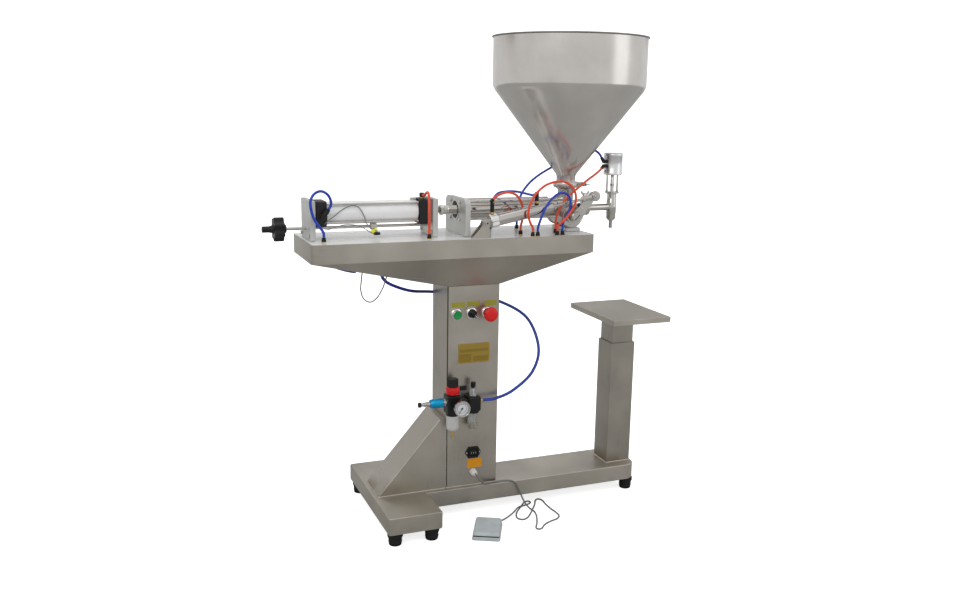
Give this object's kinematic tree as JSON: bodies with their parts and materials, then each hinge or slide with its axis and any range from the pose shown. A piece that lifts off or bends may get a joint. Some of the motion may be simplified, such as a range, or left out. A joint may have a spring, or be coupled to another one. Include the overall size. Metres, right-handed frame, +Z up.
{
  "type": "piston liquid filler",
  "caption": "Column-mounted pneumatic piston filler: hopper over a rotary valve, air-driven product cylinder, shut-off nozzle, height-adjustable bottle platform and a foot pedal.",
  "frame": {"origin": "middle of the footprint, pedal included, on the floor", "axes": "+X along the table towards the nozzle, -Y the operator's side, +Z up"},
  "size_m": [1.1216, 0.4763, 1.304],
  "materials": {
    "stainless_brushed": "brushed stainless sheet, grain along each panel",
    "stainless_polished": "turned and polished stainless",
    "hopper_steel": "satin spun stainless with a polished cone",
    "white_alloy": "pale anodised extrusion",
    "pale_alloy": "milled plate, satin",
    "black_alloy": "black anodised casting",
    "black_plastic": "moulded, satin",
    "black_rubber": "moulded rubber",
    "green_plastic": "glossy moulded",
    "red_plastic": "glossy moulded",
    "cyan_alloy": "blue anodised, knurled",
    "blue_tube": "polyurethane tube",
    "red_tube": "polyurethane tube",
    "grey_cable": "vinyl cable sheath",
    "white_nylon": "moulded nylon",
    "pedal_plastic": "pale grey moulded shell"
  },
  "bodies": {
    "machine": {"actuator_bracket": "stainless_brushed", "actuator_rear_hose": "red_tube", "air_service_unit": "black_plastic", "base_frame": "stainless_brushed", "cable_gland": "white_nylon", "column": "stainless_brushed", "column_cover": "stainless_brushed", "cylinder_barrel": "white_alloy", "cylinder_front_cap": "black_alloy", "cylinder_front_plate": "pale_alloy", "cylinder_rear_cap": "black_alloy", "cylinder_rear_plate": "pale_alloy", "foot_left_back": "black_rubber", "foot_left_front": "black_rubber", "foot_middle_back": "black_rubber", "foot_middle_front": "black_rubber", "foot_right_back": "black_rubber", "foot_right_front": "black_rubber", "front_cap_hose": "red_tube", "hopper": "hopper_steel", "hopper_clamp": "stainless_polished", "nozzle_body": "stainless_polished", "nozzle_cylinder": "white_alloy", "nozzle_hose_blue": "blue_tube", "nozzle_hose_red": "red_tube", "outlet_clamp": "stainless_polished", "pedal_base": "pedal_plastic", "pedal_cable": "grey_cable", "post_outer": "stainless_brushed", "product_cylinder": "stainless_polished", "product_cylinder_support": "pale_alloy", "rear_cap_hose": "blue_tube", "supply_hose": "blue_tube", "table_plate": "stainless_brushed", "table_tray": "stainless_brushed", "valve_body": "stainless_polished", "valve_hose_blue": "blue_tube", "valve_hose_red": "red_tube", "valve_support": "pale_alloy"},
    "piston_train": {"cylinder_piston_rod": "stainless_polished", "rod_coupling": "stainless_polished", "product_piston": "stainless_polished"},
    "stroke_screw": {"stroke_knob": "black_plastic"},
    "sensor_slide": {"sensor_carriage": "black_plastic"},
    "valve_crank": {"valve_plug": "stainless_polished", "crank_lever": "stainless_polished"},
    "valve_actuator": {"actuator_barrel": "stainless_polished"},
    "actuator_fork": {"actuator_rod": "stainless_polished"},
    "plunger": {"nozzle_plunger": "stainless_polished"},
    "platform": {"bottle_platform": "stainless_brushed"},
    "start": {"start_button": "green_plastic"},
    "stop": {"stop_button": "red_plastic"},
    "selector": {"selector_knob": "black_plastic"},
    "regulator": {"regulator_knob": "black_plastic"},
    "lubricator": {"lubricator_knob": "black_plastic"},
    "needle": {"gauge_needle": "black_plastic"},
    "slide_valve": {"slide_valve_sleeve": "cyan_alloy"},
    "hopper_nut": {"hopper_wing_nut": "stainless_polished"},
    "outlet_nut": {"outlet_wing_nut": "stainless_polished"},
    "pedal": {"pedal_lever": "pedal_plastic"}
  },
  "joints": [
    {"name": "piston_stroke", "type": "slide", "parent": "machine", "child": "piston_train", "axis": [1, 0, 0], "range_m": [0, 0.15]},
    {"name": "stroke_knob_turn", "type": "hinge", "parent": "machine", "child": "stroke_screw", "pos_m": [-0.5202, 0.0256, 0.8075], "axis": [1, 0, 0], "range_deg": [-3600, 3600]},
    {"name": "sensor_travel", "type": "slide", "parent": "machine", "child": "sensor_slide", "axis": [1, 0, 0], "range_m": [-0.0301, 0.0301]},
    {"name": "valve_turn", "type": "hinge", "parent": "machine", "child": "valve_crank", "pos_m": [0.2768, -0.0644, 0.823], "axis": [0, -1, 0], "range_deg": [0, 60]},
    {"name": "actuator_swing", "type": "hinge", "parent": "machine", "child": "valve_actuator", "pos_m": [0.0022, -0.0644, 0.8183], "axis": [0, -1, 0], "range_deg": [0, 7.1], "deforming": ["actuator_rear_hose"]},
    {"name": "actuator_stroke", "type": "slide", "parent": "valve_actuator", "child": "actuator_fork", "axis": [0.9814, 0, 0.1919], "range_m": [-0.068, 0]},
    {"name": "plunger_lift", "type": "slide", "parent": "machine", "child": "plunger", "axis": [0, 0, 1], "range_m": [0, 0.012]},
    {"name": "platform_height", "type": "slide", "parent": "machine", "child": "platform", "axis": [0, 0, 1], "range_m": [-0.07, 0.15]},
    {"name": "start_press", "type": "slide", "parent": "machine", "child": "start", "axis": [0, 1, 0], "range_m": [0, 0.004], "stiffness_N_per_m": 400, "springref_m": -0.002},
    {"name": "stop_press", "type": "slide", "parent": "machine", "child": "stop", "axis": [0, 1, 0], "range_m": [0, 0.004]},
    {"name": "selector_turn", "type": "hinge", "parent": "machine", "child": "selector", "pos_m": [-0.0217, -0.0347, 0.5715], "axis": [0, -1, 0], "range_deg": [0, 90]},
    {"name": "regulator_turn", "type": "hinge", "parent": "machine", "child": "regulator", "pos_m": [-0.0812, -0.0574, 0.376], "axis": [0, 0, 1], "range_deg": [-540, 540]},
    {"name": "lubricator_turn", "type": "hinge", "parent": "machine", "child": "lubricator", "pos_m": [-0.0222, -0.0574, 0.37], "axis": [0, 0, 1], "range_deg": [-360, 360]},
    {"name": "needle_turn", "type": "hinge", "parent": "machine", "child": "needle", "pos_m": [-0.0712, -0.0987, 0.329], "axis": [0, 1, 0], "range_deg": [0, 270]},
    {"name": "slide_valve_shift", "type": "slide", "parent": "machine", "child": "slide_valve", "axis": [1, 0, 0], "range_m": [0, 0.006]},
    {"name": "hopper_nut_turn", "type": "hinge", "parent": "machine", "child": "hopper_nut", "pos_m": [0.3293, 0.0133, 0.907], "axis": [0, -1, 0], "range_deg": [0, 720]},
    {"name": "outlet_nut_turn", "type": "hinge", "parent": "machine", "child": "outlet_nut", "pos_m": [0.3408, 0.0256, 0.8708], "axis": [0, 0, 1], "range_deg": [0, 720]},
    {"name": "pedal_press", "type": "hinge", "parent": "machine", "child": "pedal", "pos_m": [0.00148, -0.12881, 0.0113], "axis": [0.8949, -0.4462, 0], "range_deg": [0, 1.8], "stiffness_Nm_per_rad": 10, "springref_deg": -2.86}
  ],
  "couplings": [
    {"joint": "sensor_travel", "follows": "stroke_knob_turn", "m_per_rad": 0.00047746},
    {"joint": "actuator_swing", "follows": "valve_turn", "ratio": 0.117},
    {"joint": "actuator_stroke", "follows": "valve_turn", "m_per_rad": -0.0645}
  ]
}
